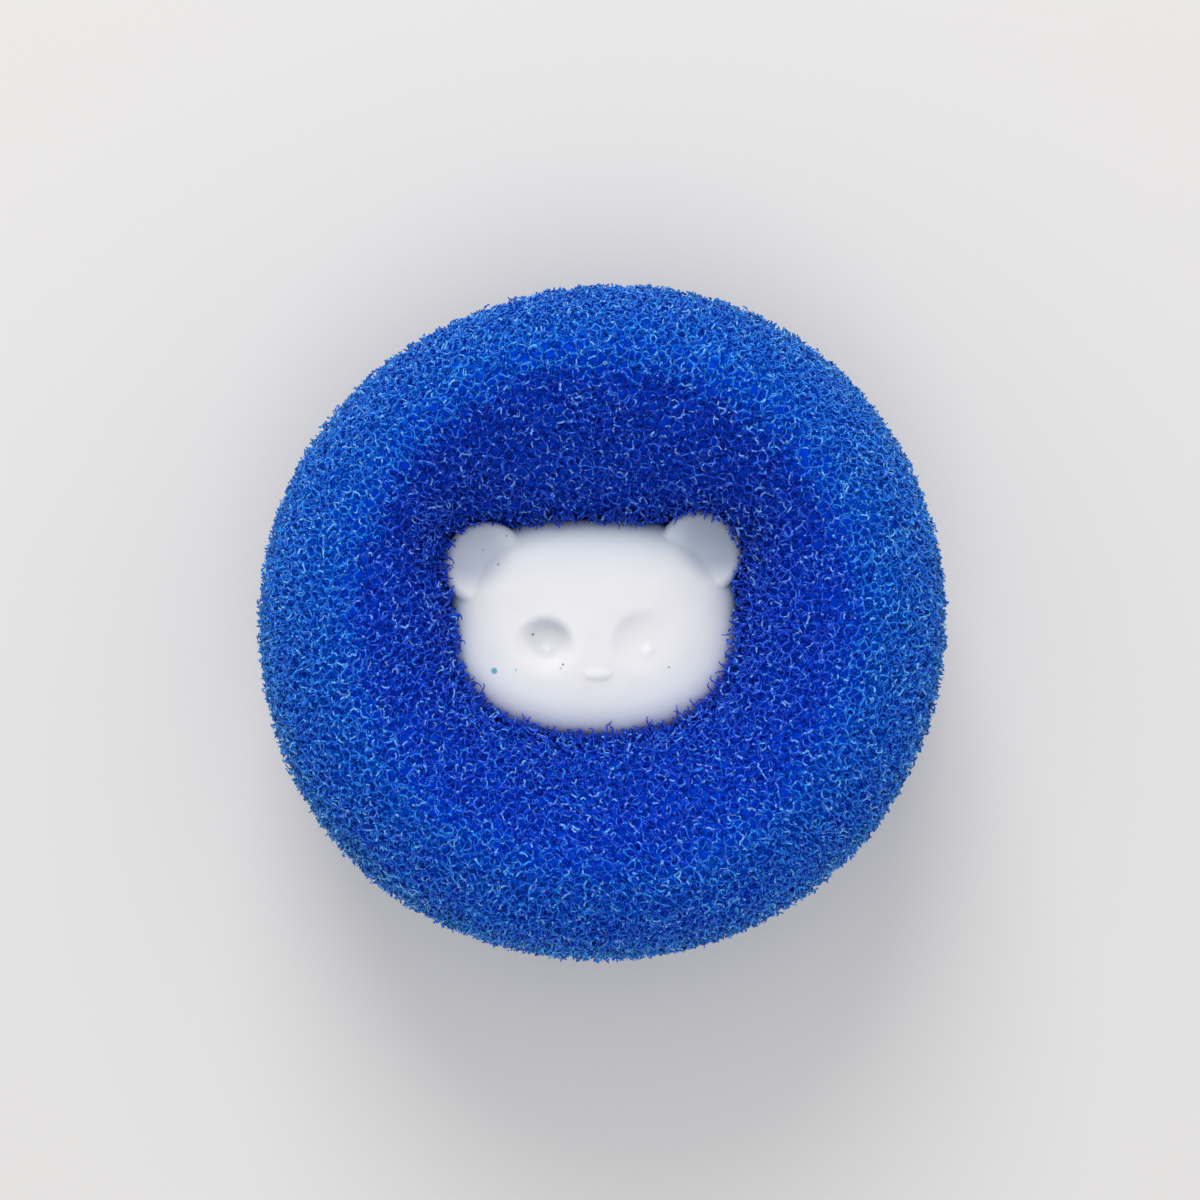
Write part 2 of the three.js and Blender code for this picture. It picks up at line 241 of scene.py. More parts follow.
# ---------------------------------------------------------------- foam cells
def foam_block():
    """Corners and struts of a block of foam cells that repeats in X, Y and Z: the corners and edges where
    the cells round random seeds meet. Corners are in mm, and a strut is (corner, corner, block offset of the second)."""
    size = CELLS * CELL
    g = np.stack(np.meshgrid(*[np.arange(CELLS)] * 3, indexing="ij"), -1).reshape(-1, 3) * CELL
    seeds = np.concatenate([g, g + CELL / 2]) + rng.normal(0, 0.24 * CELL, (2 * len(g), 3))
    n = len(seeds)
    reach = CELL * 0.86
    for _ in range(5):  # pushes seeds apart that are too close
        d = seeds[:, None] - seeds[None]
        d -= size * np.round(d / size)
        q = np.sqrt((d * d).sum(-1)) + np.eye(n) * 9
        push = np.maximum(0, reach - q) / q
        seeds = (seeds + 0.42 * (d * push[..., None]).sum(1)) % size
    d = seeds[None] - seeds[:, None]
    d -= size * np.round(d / size)
    q = (d * d).sum(-1) + np.eye(n) * 1e9
    near = np.argpartition(q, 23, 1)[:, :23]
    v = np.take_along_axis(d, near[..., None], 1)
    h = (v * v).sum(-1) / 2
    tri = np.array([(a, b, c) for a in range(23) for b in range(a) for c in range(b)])
    corner_of, corner_at = [], []
    for lo in range(0, n, 128):
        w, k = v[lo:lo + 128], h[lo:lo + 128]
        a, b, c = (w[:, tri[:, x]] for x in range(3))
        bc, ca, ab = np.cross(b, c), np.cross(c, a), np.cross(a, b)
        det = (a * bc).sum(-1)
        det = np.where(np.abs(det) < 1e-6, 1e-6, det)
        x = (k[:, tri[:, 0], None] * bc + k[:, tri[:, 1], None] * ca + k[:, tri[:, 2], None] * ab) / det[..., None]
        close = (x * x).sum(-1) < (0.95 * CELL) ** 2
        s, t = np.nonzero(close)
        p = x[s, t]
        ok = ((p[:, None] * w[s]).sum(-1) <= k[s] + 1e-7).all(1)
        s, t, p = s[ok], t[ok], p[ok]
        ids = np.concatenate([(s + lo)[:, None], near[s[:, None] + lo, tri[t]]], 1)
        corner_of.append(np.sort(ids, 1))
        corner_at.append((seeds[s + lo] + p) % size)
    corner_of, corner_at = np.concatenate(corner_of), np.concatenate(corner_at)
    corner_of, first = np.unique(corner_of, axis=0, return_index=True)
    corner_at = corner_at[first]
    tri = np.concatenate([np.delete(corner_of, k, 1) for k in range(4)])
    which = np.tile(np.arange(len(corner_of)), 4)
    order = np.lexsort(tri.T)
    tri, which = tri[order], which[order]
    same = (tri[1:] == tri[:-1]).all(1)
    a, b = which[:-1][same], which[1:][same]
    step = corner_at[b] - corner_at[a]
    return size, corner_at, a, b, -np.round(step / size).astype(int)


def foam_struts(bvh, reach):
    """Start and end in mm, thickness, and whether each is fine and whether it was cut, of the struts below the foam's
    skin, cut off where the foam was cut.
    reach is how deep the struts go below each face of the skin."""
    size, corner, a, b, over = foam_block()
    lo, hi = np.array([-36.5, -36.5, -1.0]), np.array([36.5, 36.5, 39.0])
    count = np.ceil((hi - lo) / size).astype(int) + 2
    tiles = np.stack(np.meshgrid(*[np.arange(c) for c in count], indexing="ij"), -1).reshape(-1, 3)
    flat = lambda t: (t[..., 0] * count[1] + t[..., 1]) * count[2] + t[..., 2]
    nv = len(corner)
    p = (tiles[:, None] * size + corner[None]).reshape(-1, 3) + lo - size
    # A slow bend of the block, so that its repeats don't line up.
    bend = np.stack([
        0.55 * np.sin(p[:, 1] * 0.21 + 1.0) + 0.4 * np.sin(p[:, 2] * 0.33 + p[:, 0] * 0.11),
        0.55 * np.sin(p[:, 2] * 0.24 + 2.0) + 0.4 * np.sin(p[:, 0] * 0.29 + p[:, 1] * 0.13),
        0.55 * np.sin(p[:, 0] * 0.19 + 4.0) + 0.4 * np.sin(p[:, 1] * 0.31 + p[:, 2] * 0.12),
    ], 1)
    p = p + bend
    # Signed depth of each corner: negative inside the foam.
    r = np.hypot(p[:, 0], p[:, 1])
    outer = ((r - 22.6) / 13.6) ** 2 + ((p[:, 2] - 19) / 20.4) ** 2 < 1
    deep = ((r - 25.5) / 5.5) ** 2 + ((p[:, 2] - 18.5) / 13.5) ** 2 < 1
    maybe = np.nonzero((outer | ((r > 8) & (r < 22.6) & (p[:, 2] > -0.5) & (p[:, 2] < 38.5))) & ~deep)[0]
    s = np.full(len(p), np.nan)
    floor = np.zeros(len(p))
    for i in maybe:
        at, normal, face, dist = bvh.find_nearest(p[i], 3.0)
        if face is not None:
            s[i] = dist if (Vector(p[i]) - at).dot(normal) > 0 else -dist
            floor[i] = reach[face]
    # The skin is torn rather than sliced, so whole cells stand out of it or are missing, except against the head.
    s += rng.uniform(-0.42, 0.42, len(p)) * smooth((floor - DEPTH_HIDDEN) / (DEPTH - DEPTH_HIDDEN))
    inside = tiles[(tiles > 0).all(1) & (tiles < count - 1).all(1)]
    ia = (flat(inside)[:, None] * nv + a[None]).ravel()
    ib = (flat(inside[:, None] + over[None]) * nv + b[None]).ravel()
    sa, sb = s[ia], s[ib]
    ok = np.isfinite(sa) & np.isfinite(sb) & (np.minimum(sa, sb) < 0) & (np.maximum(sa, sb) > -floor[ia])
    ia, ib, sa, sb = ia[ok], ib[ok], sa[ok], sb[ok]
    swap = sa > sb  # the first end is the deeper one
    ia, ib = np.where(swap, ib, ia), np.where(swap, ia, ib)
    sa, sb = np.where(swap, sb, sa), np.where(swap, sa, sb)
    pa, pb = p[ia], p[ib]
    cut = sb > 0
    stop = rng.uniform(-0.25, 0.34, len(sa))
    t = np.where(cut, np.clip((stop - sa) / np.maximum(sb - sa, 1e-6), 0.25, 1), 1)
    pb = pa + (pb - pa) * t[:, None]
    thick = STRUT * rng.uniform(0.8, 1.25, len(pa))
    long = np.linalg.norm(pb - pa, axis=1)
    ok = (long > 0.1) & (pb[:, 2] > 0.16) & (pa[:, 2] > 0.16)
    # Near the skin some struts have broken away, so few cells are whole.
    ok &= (np.minimum(sa, sb) < -0.9) | cut | (rng.uniform(0, 1, len(pa)) > 0.14)
    fine = (np.maximum(sa, sb) > -FINE) & (floor[ia] > 0.5 * (DEPTH + DEPTH_HIDDEN))
    return pa[ok], pb[ok], thick[ok], fine[ok], cut[ok]


# ---------------------------------------------------------------- mesh helpers
def mesh_object(name, verts_mm, faces, smooth_shade=True, groups=None):
    """An object from corner points in mm and an array, or list of arrays, of triangles or quads."""
    faces = faces if isinstance(faces, list) else [faces]
    me = bpy.data.meshes.new(name)
    v = np.asarray(verts_mm, np.float32) * MM
    me.vertices.add(len(v))
    me.vertices.foreach_set("co", v.ravel())
    total = np.concatenate([np.full(len(f), f.shape[1], np.int32) for f in faces])
    loops = np.concatenate([f.ravel() for f in faces]).astype(np.int32)
    me.loops.add(len(loops))
    me.loops.foreach_set("vertex_index", loops)
    me.polygons.add(len(total))
    me.polygons.foreach_set("loop_start", np.concatenate([[0], np.cumsum(total)[:-1]]).astype(np.int32))
    me.polygons.foreach_set("loop_total", total)
    if groups is not None:
        me.polygons.foreach_set("material_index", np.asarray(groups, np.int32))
    me.update(calc_edges=True)
    me.validate()
    me.polygons.foreach_set("use_smooth", np.full(len(me.polygons), smooth_shade))
    ob = bpy.data.objects.new(name, me)
    scene.collection.objects.link(ob)
    return ob


def strut_frame(pa, pb):
    d = pb - pa
    long = np.linalg.norm(d, axis=1, keepdims=True)
    d = d / long
    ref = np.where(np.abs(d[:, 2:3]) < 0.8, [[0, 0, 1.0]], [[1.0, 0, 0]])
    u = np.cross(d, ref)
    u /= np.linalg.norm(u, axis=1, keepdims=True)
    w = np.cross(d, u)
    roll = rng.uniform(0, 2 * np.pi, (len(pa), 1))
    return d, np.cos(roll) * u + np.sin(roll) * w, np.cos(roll) * w - np.sin(roll) * u, long


def fine_struts(pa, pb, thick, cut):
    """Closed three-sided struts, a little bent, thin in the middle and thick where the struts of a corner grow together."""
    n = len(pa)
    d, u, w, long = strut_frame(pa, pb)
    t = thick[:, None]
    bow = long * rng.uniform(0.05, 0.3, (n, 1))
    ends = np.minimum(0.9 * t, 0.22 * long)
    far = np.where(cut, 0.85, 1.4)[:, None]
    verts = np.empty((n, 11, 3))
    verts[:, 0] = pa - d * 0.6 * t
    verts[:, 10] = pb + d * np.where(cut, 0.3, 0.6)[:, None] * t
    for ring, at, wide in ((0, pa + d * ends, 1.4), (1, (pa + pb) / 2 + u * bow, 0.84), (2, pb - d * ends, far)):
        for k in range(3):
            ang = k * 2 * np.pi / 3
            verts[:, 1 + 3 * ring + k] = at + (math.cos(ang) * u + math.sin(ang) * w) * wide * t
    base = (np.arange(n) * 11)[:, None]
    tris = [(0, 2, 1), (0, 3, 2), (0, 1, 3), (10, 7, 8), (10, 8, 9), (10, 9, 7)]
    quads = [(1, 2, 5, 4), (2, 3, 6, 5), (3, 1, 4, 6), (4, 5, 8, 7), (5, 6, 9, 8), (6, 4, 7, 9)]
    return verts.reshape(-1, 3), [np.concatenate([base + np.array(f) for f in group]) for group in (tris, quads)]


def plain_struts(pa, pb, thick):
    """Closed four-sided struts with a chisel edge at each end, for below the skin."""
    n = len(pa)
    d, u, w, long = strut_frame(pa, pb)
    t = thick[:, None] * 1.15
    verts = np.empty((n, 4, 3))
    verts[:, 0], verts[:, 1] = pa + u * t, pa - u * t
    verts[:, 2], verts[:, 3] = pb + w * t, pb - w * t
    base = (np.arange(n) * 4)[:, None]
    tris = [(0, 2, 1), (0, 1, 3), (0, 3, 2), (1, 2, 3)]
    return verts.reshape(-1, 3), [np.concatenate([base + np.array(f) for f in tris])]


# ---------------------------------------------------------------- head shape
def smin(a, b, k):
    h = np.maximum(k - np.abs(a - b), 0) / k
    return np.minimum(a, b) - h * h * k / 4


def smax(a, b, k):
    return -smin(-a, -b, k)


def ball(p, centre, radii, tilt=0.0, nod=0.0, roll=0.0):
    """Distance to an ellipsoid, turned about Z by tilt, then about X by nod and about Y by roll."""
    x, y, z = (p[k] - centre[k] for k in range(3))
    c, s = math.cos(tilt), math.sin(tilt)
    x, y = c * x + s * y, -s * x + c * y
    c, s = math.cos(nod), math.sin(nod)
    y, z = c * y + s * z, -s * y + c * z
    c, s = math.cos(roll), math.sin(roll)
    x, z = c * x + s * z, -s * x + c * z
    k0 = np.sqrt((x / radii[0]) ** 2 + (y / radii[1]) ** 2 + (z / radii[2]) ** 2)
    k1 = np.sqrt((x / radii[0] ** 2) ** 2 + (y / radii[1] ** 2) ** 2 + (z / radii[2] ** 2) ** 2)
    return k0 * (k0 - 1) / np.maximum(k1, 1e-9)


def disc(p, centre, radius, half, edge):
    """Distance to a flat disc with a round edge."""
    x, y, z = (p[k] - centre[k] for k in range(3))
    a, b = np.sqrt(x * x + y * y) - radius + edge, np.abs(z) - half + edge
    return np.sqrt(np.maximum(a, 0) ** 2 + np.maximum(b, 0) ** 2) + np.minimum(np.maximum(a, b), 0) - edge


def face_height(x, y):
    return HEAD_C * max(0, 1 - float(head_plan(x, y))) ** (1 / HEAD_N)


def on_face(x, y):
    """The point of the face that is seen at x, y from above, in the part's frame."""
    h = HEAD_C
    for _ in range(6):
        own = (x - HEAD[0] - h * TURN_S) / TURN_C
        h = face_height(own, y - HEAD[1])
    return np.array([x, y, HEAD[2] + h * TURN_C - own * TURN_S])


def head_top(x, y):
    """Height of the face or of an ear at x, y in the part's frame."""
    top = on_face(x, y)[2]
    for ear_x, ear_y in EARS:
        at = HEAD[:2] + (ear_x + EAR_Z * TURN_S, ear_y)
        if math.hypot(x - at[0], y - at[1]) < EAR_R + 0.1:
            top = max(top, HEAD[2] + EAR_Z + EAR_T - (x - HEAD[0]) * TURN_S)
    return top


def on_head(x, y):
    """The same for the head with its eye recesses and ears."""
    z = HEAD[2] + np.arange(10, 0, -0.01)
    dx, dz = x - HEAD[0], z - HEAD[2]
    d, _ = head_skin((dx * TURN_C - dz * TURN_S, y - HEAD[1] + 0 * z, dx * TURN_S + dz * TURN_C))
    return np.array([x, y, z[np.argmax(d < 0)]])


def head_body(p):
    x, y, z = p
    q = (head_plan(x, y) + np.abs(z / HEAD_C) ** HEAD_N) ** (1 / HEAD_N)
    return np.sqrt(x * x + y * y + z * z) * (1 - 1 / np.maximum(q, 1e-6))


def head_skin(p):
    """The head's outside with ears and face, about its own centre, and the outside with the eye recesses only."""
    d = face = head_body(p)
    for ear_x, ear_y in EARS:
        d = smin(d, disc(p, (ear_x, ear_y, EAR_Z), EAR_R, EAR_T, EAR_ROUND), 0.12)
    # Eye recesses, deepest under the brow; the right one came out of the mould shallower.
    for side, deep, wide, dot in ((-1, 0.95, 0.86, 0.24), (1, 0.14, 1.14, 0.03)):
        x, y = side * 5.45, -2.1
        cut = ball(p, (x, y, face_height(x, y) + 1.25 - deep), (3.1 * wide, 2.65 * wide, 1.25), -side * 0.4, -0.13 - 0.12 * deep, side * 0.22)
        d, face = smax(d, -cut, 1.25), smax(face, -cut, 1.25)
        x, y = side * 4.95, -2.5
        d = smin(d, ball(p, (x, y, face_height(x, y) - 0.9 * deep + dot - 0.45), (0.58, 0.58, 0.5)), 0.35)
    y = -4.85
    d = smin(d, ball(p, (0, y, face_height(0, y) + 0.02), (1.3, 0.45, 0.22)), 0.4)
    return d, face


def front_shell(p):
    (d, face), plain, z = head_skin(p), head_body(p), p[2]
    shell = smax(smax(d, -(face + WALL), 0.1), RIM_GAP / 2 - z, 0.12)
    tongue = np.maximum(np.maximum(plain + 0.75, -(plain + WALL)), np.abs(z + 0.5) - 1.1)
    return np.minimum(shell, tongue)


def rear_shell(p):
    (d, face), plain, z = head_skin(p), head_body(p), p[2]
    shell = smax(smax(d, -(plain + WALL), 0.1), z + RIM_GAP / 2, 0.12)
    return np.maximum(shell, -np.maximum(plain + 0.55, -1.9 - z))


def surface_net(field, lo, hi, step):
    """A closed quad mesh where field is zero, with its corners moved onto the surface."""
    axes = [np.arange(lo[k], hi[k] + step, step) for k in range(3)]
    p = np.meshgrid(*axes, indexing="ij")
    f = field(p)
    s = f < 0
    n = np.array(f.shape) - 1
    part = lambda a, c: a[c[0]:n[0] + c[0], c[1]:n[1] + c[1], c[2]:n[2] + c[2]]
    corners = [(i, j, k) for i in (0, 1) for j in (0, 1) for k in (0, 1)]
    total = sum(part(s, c).astype(np.int8) for c in corners)
    cell = np.nonzero((total > 0) & (total < 8))
    index = np.full(n, -1)
    index[cell] = np.arange(len(cell[0]))
    at, hits = np.zeros((len(cell[0]), 3)), np.zeros(len(cell[0]))
    for axis in range(3):
        for c in corners:
            if c[axis]:
                continue
            e = list(c)
            e[axis] = 1
            fa = f[cell[0] + c[0], cell[1] + c[1], cell[2] + c[2]]
            fb = f[cell[0] + e[0], cell[1] + e[1], cell[2] + e[2]]
            x = (fa < 0) != (fb < 0)
            t = np.where(x, fa / np.where(x, fa - fb, 1), 0)
            q = np.array(c, float)[None].repeat(len(t), 0)
            q[:, axis] += t
            at += np.where(x[:, None], q, 0)
            hits += x
    v = np.array(lo) + step * (np.stack(cell, 1) + at / hits[:, None])
    quads = []
    for axis in range(3):
        o1, o2 = [(1, 2), (2, 0), (0, 1)][axis]
        sl = [slice(1, None)] * 3
        sl[axis] = slice(0, n[axis])
        a = s[tuple(slice(1, n[k]) if k != axis else slice(0, n[k]) for k in range(3))]
        b = s[tuple(slice(1, n[k]) if k != axis else slice(1, n[k] + 1) for k in range(3))]
        for first, keep in ((True, a & ~b), (False, b & ~a)):
            i = list(np.nonzero(keep))
            for k in (o1, o2):
                i[k] = i[k] + 1
            ring = []
            for d1, d2 in ((0, 0), (1, 0), (1, 1), (0, 1)):
                j = list(i)
                j[o1] = j[o1] - 1 + d1
                j[o2] = j[o2] - 1 + d2
                ring.append(index[tuple(j)])
            q = np.stack(ring if first else ring[::-1], 1)
            quads.append(q)
    quads = np.concatenate(quads)
    eps = 0.02
    for _ in range(3):
        c = [v[:, k] for k in range(3)]
        val = field(c)
        g = np.stack([(field([c[j] + eps * (j == k) for j in range(3)]) - field([c[j] - eps * (j == k) for j in range(3)])) / (2 * eps) for k in range(3)], 1)
        move = val[:, None] * g / np.maximum((g * g).sum(1), 0.2)[:, None]
        length = np.linalg.norm(move, axis=1, keepdims=True)
        v = v - move * np.minimum(1, 0.4 * step / np.maximum(length, 1e-9))
    return v, quads


# ---------------------------------------------------------------- materials
def material(name):
    m = bpy.data.materials.new(name)
    m.use_nodes = True
    nt = m.node_tree
    nt.nodes.clear()
    out = nt.nodes.new("ShaderNodeOutputMaterial")
    bs = nt.nodes.new("ShaderNodeBsdfPrincipled")
    nt.links.new(bs.outputs[0], out.inputs[0])
    return m, nt, bs


def foam_material(name, colour, rough):
    m, nt, bs = material(name)
    bs.inputs["Base Color"].default_value = (*colour, 1)
    bs.inputs["Roughness"].default_value = rough
    bs.inputs["Specular IOR Level"].default_value = 0.4
    return m


# Lit and shaded copies of one blue, as painted light and shade: deeper blues in the bowl and paler blues outside, where
# the light falls, and duller rim blues along the widest level for the outline's shade and light. The light and glint
# blues are painted highlights, and the shade blues are painted shade on the bowl's upper wall.
STRUT_BLUES = [
    foam_material("foam_bowl_deep", (0.0006, 0.055, 0.68), 0.36),
    foam_material("foam_bowl", (0.0010, 0.086, 0.74), 0.34),
    foam_material("foam_bowl_light", (0.032, 0.185, 0.94), 0.30),
    foam_material("foam_bowl_glint", (0.18, 0.42, 1.0), 0.26),
    foam_material("foam_outside_deep", (0.0008, 0.138, 0.76), 0.36),
    foam_material("foam_outside", (0.002, 0.208, 0.86), 0.34),
    foam_material("foam_outside_light", (0.026, 0.318, 0.94), 0.30),
    foam_material("foam_outside_glint", (0.16, 0.53, 1.0), 0.26),
    foam_material("foam_rim_deep", (0.003, 0.08, 0.38), 0.4),
    foam_material("foam_rim", (0.010, 0.23, 0.62), 0.36),
    foam_material("foam_shade_deep", (0.0004, 0.036, 0.50), 0.38),
    foam_material("foam_shade", (0.0008, 0.062, 0.60), 0.36),
]


def core_material(name, dark, light):
    m, nt, bs = material(name)
    tc = nt.nodes.new("ShaderNodeTexCoord")
    vo = nt.nodes.new("ShaderNodeTexVoronoi")
    vo.inputs["Scale"].default_value = 800
    ramp = nt.nodes.new("ShaderNodeValToRGB")
    ramp.color_ramp.elements[0].color = (*dark, 1)
    ramp.color_ramp.elements[1].color = (*light, 1)
    ramp.color_ramp.elements[1].position = 0.7
    nt.links.new(tc.outputs["Object"], vo.inputs["Vector"])
    nt.links.new(vo.outputs["Distance"], ramp.inputs["Fac"])
    nt.links.new(ramp.outputs["Color"], bs.inputs["Base Color"])
    bs.inputs["Roughness"].default_value = 0.9
    bs.inputs["Specular IOR Level"].default_value = 0.0
    return m


def plastic_material(name, colour, marks):
    """White moulded plastic, with the foam's blue reflection, light and shade painted on; marks are small stains or
    soft painted shade, as (place in mm, radius in mm, colour).
    """
    m, nt, bs = material(name)
    tc = nt.nodes.new("ShaderNodeTexCoord")
    no = nt.nodes.new("ShaderNodeTexNoise")
    no.inputs["Scale"].default_value = 260
    no.inputs["Detail"].default_value = 4
    nt.links.new(tc.outputs["Object"], no.inputs["Vector"])
    ramp = nt.nodes.new("ShaderNodeValToRGB")
    ramp.color_ramp.elements[0].position = 0.3
    ramp.color_ramp.elements[1].position = 0.75
    ramp.color_ramp.elements[0].color = (*[c * 0.965 for c in colour], 1)
    ramp.color_ramp.elements[1].color = (*colour, 1)
    nt.links.new(no.outputs["Fac"], ramp.inputs["Fac"])
    last = ramp.outputs["Color"]
    # Painted reflection and shade: towards the foam the plastic is painted a darker blue-green, for the blue light the
    # foam throws on it and the shade it casts.
    depth = nt.nodes.new("ShaderNodeVectorMath")
    depth.operation = "DOT_PRODUCT"
    depth.inputs[1].default_value = (TURN_S, 0, TURN_C)
    nt.links.new(tc.outputs["Object"], depth.inputs[0])
    low = nt.nodes.new("ShaderNodeMapRange")
    low.inputs["From Min"].default_value = 0.015
    low.inputs["From Max"].default_value = 0.030
    nt.links.new(depth.outputs["Value"], low.inputs["Value"])
    band = nt.nodes.new("ShaderNodeValToRGB")
    band.color_ramp.interpolation = "EASE"
    band.color_ramp.elements[0].position, band.color_ramp.elements[1].position = 0.25, 0.83
    for e in band.color_ramp.elements:
        e.color = (0, 0, 0, 1)
    for at in (0.50, 0.66):
        band.color_ramp.elements.new(at).color = (1, 1, 1, 1)
    nt.links.new(low.outputs["Result"], band.inputs["Fac"])
    painted_foam_bounce = nt.nodes.new("ShaderNodeMix")
    painted_foam_bounce.data_type = "RGBA"
    nt.links.new(band.outputs["Color"], painted_foam_bounce.inputs[0])
    nt.links.new(last, painted_foam_bounce.inputs[6])
    painted_foam_bounce.inputs[7].default_value = (0.72, 0.86, 0.88, 1)
    last = painted_foam_bounce.outputs[2]
    # Painted light: round the edge towards the chin the plastic is painted paler, where the foam shades it.
    plan = nt.nodes.new("ShaderNodeVectorMath")
    plan.operation = "MULTIPLY_ADD"
    plan.inputs[1].default_value = (1 / (HEAD_A * MM), 1 / (HEAD_B * MM), 0)
    plan.inputs[2].default_value = (-HEAD[0] / HEAD_A, -HEAD[1] / HEAD_B, 0)
    nt.links.new(tc.outputs["Object"], plan.inputs[0])
    far_out = nt.nodes.new("ShaderNodeVectorMath")
    far_out.operation = "LENGTH"
    nt.links.new(plan.outputs[0], far_out.inputs[0])
    edge = nt.nodes.new("ShaderNodeMapRange")
    edge.interpolation_type = "SMOOTHSTEP"
    edge.inputs["From Min"].default_value = 0.55
    edge.inputs["From Max"].default_value = 0.92
    nt.links.new(far_out.outputs["Value"], edge.inputs["Value"])
    place = nt.nodes.new("ShaderNodeSeparateXYZ")
    nt.links.new(tc.outputs["Object"], place.inputs[0])
    chin = nt.nodes.new("ShaderNodeMapRange")
    chin.interpolation_type = "SMOOTHSTEP"
    chin.inputs["From Min"].default_value = (HEAD[1] - 0.5) * MM
    chin.inputs["From Max"].default_value = (HEAD[1] - 6.5) * MM
    nt.links.new(place.outputs[1], chin.inputs["Value"])
    both = nt.nodes.new("ShaderNodeMath")
    both.operation = "MULTIPLY"
    nt.links.new(edge.outputs["Result"], both.inputs[0])
    nt.links.new(chin.outputs["Result"], both.inputs[1])
    paler = nt.nodes.new("ShaderNodeMix")
    paler.data_type = "RGBA"
    nt.links.new(both.outputs[0], paler.inputs[0])
    nt.links.new(last, paler.inputs[6])
    paler.inputs[7].default_value = (0.91, 0.985, 0.955, 1)
    last = paler.outputs[2]
    # Painted shade: the crown is painted greyer, where the foam wall above it shades it.
    crown = nt.nodes.new("ShaderNodeMapRange")
    crown.interpolation_type = "SMOOTHSTEP"
    crown.inputs["From Min"].default_value = (HEAD[1] + 3.6) * MM
    crown.inputs["From Max"].default_value = (HEAD[1] + 10.5) * MM
    nt.links.new(place.outputs[1], crown.inputs["Value"])
    crown_shade = nt.nodes.new("ShaderNodeMix")
    crown_shade.data_type = "RGBA"
    nt.links.new(crown.outputs["Result"], crown_shade.inputs[0])
    nt.links.new(last, crown_shade.inputs[6])
    crown_shade.inputs[7].default_value = (0.63, 0.70, 0.75, 1)
    last = crown_shade.outputs[2]
    for place, radius, stain in marks:
        far = nt.nodes.new("ShaderNodeVectorMath")
        far.operation = "DISTANCE"
        far.inputs[1].default_value = [c * MM for c in place]
        nt.links.new(tc.outputs["Object"], far.inputs[0])
        near = nt.nodes.new("ShaderNodeMapRange")
        near.interpolation_type = "SMOOTHSTEP"
        near.inputs["From Min"].default_value = radius * 0.55 * MM
        near.inputs["From Max"].default_value = radius * 1.25 * MM
        near.inputs["To Min"].default_value = 1
        near.inputs["To Max"].default_value = 0
        nt.links.new(far.outputs["Value"], near.inputs["Value"])
        mix = nt.nodes.new("ShaderNodeMix")
        mix.data_type = "RGBA"
        nt.links.new(near.outputs["Result"], mix.inputs[0])
        nt.links.new(last, mix.inputs[6])
        mix.inputs[7].default_value = (*stain, 1)
        last = mix.outputs[2]
    nt.links.new(last, bs.inputs["Base Color"])
    rough = nt.nodes.new("ShaderNodeMapRange")
    rough.inputs["To Min"].default_value = 0.40
    rough.inputs["To Max"].default_value = 0.54
    nt.links.new(no.outputs["Fac"], rough.inputs["Value"])
    nt.links.new(rough.outputs["Result"], bs.inputs["Roughness"])
    fine = nt.nodes.new("ShaderNodeTexNoise")
    fine.inputs["Scale"].default_value = 1500
    fine.inputs["Detail"].default_value = 3
    nt.links.new(tc.outputs["Object"], fine.inputs["Vector"])
    bump = nt.nodes.new("ShaderNodeBump")
    bump.inputs["Strength"].default_value = 0.12
    bump.inputs["Distance"].default_value = 0.0001
    nt.links.new(fine.outputs["Fac"], bump.inputs["Height"])
    nt.links.new(bump.outputs["Normal"], bs.inputs["Normal"])
    bs.inputs["Subsurface Weight"].default_value = 0.85
    bs.inputs["Subsurface Radius"].default_value = (1.0, 0.95, 0.9)
    bs.inputs["Subsurface Scale"].default_value = 0.0018
    bs.inputs["Specular IOR Level"].default_value = 0.4
    return m


# ---------------------------------------------------------------- foam pieces
skin = ring_points()
quads = grid_quads(*skin.shape[:2])
flat_skin = skin.reshape(-1, 3)
bvh = BVHTree.FromPolygons(flat_skin.tolist(), quads.tolist())
# The core is the skin drawn in, so what shows between the struts is foam too.
nrm = np.zeros_like(flat_skin)
e1, e2 = flat_skin[quads[:, 2]] - flat_skin[quads[:, 0]], flat_skin[quads[:, 3]] - flat_skin[quads[:, 1]]
fn = np.cross(e1, e2)
for k in range(4):
    np.add.at(nrm, quads[:, k], fn)
nrm /= np.maximum(np.linalg.norm(nrm, axis=1, keepdims=True), 1e-12)
# Along the section: the outside, the underside, the hole's wall under the lip, and the wall above it.
m = skin.shape[1]
along = np.arange(m)
hidden = smooth((along - 47) / 6) * (1 - smooth((along - 102) / 6))
reach = DEPTH + (DEPTH_HIDDEN - DEPTH) * hidden
core_at = flat_skin - nrm * np.tile(reach - 0.35, skin.shape[0])[:, None]
core = mesh_object("sponge_core", core_at, [quads], groups=np.tile((along > 2) & (along < 60), skin.shape[0]).astype(int))
# Painted light and shade: the core under the outside is a lighter blue than the core under the bowl.
core.data.materials.append(core_material("foam_core_bowl", (0.0004, 0.050, 0.70), (0.0008, 0.085, 0.88)))
core.data.materials.append(core_material("foam_core_outside", (0.0006, 0.10, 0.80), (0.0012, 0.15, 0.95)))
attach(core, "sponge")
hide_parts("sponge_ring")

pa, pb, thick, fine, cut = foam_struts(bvh, np.tile(reach, skin.shape[0]))
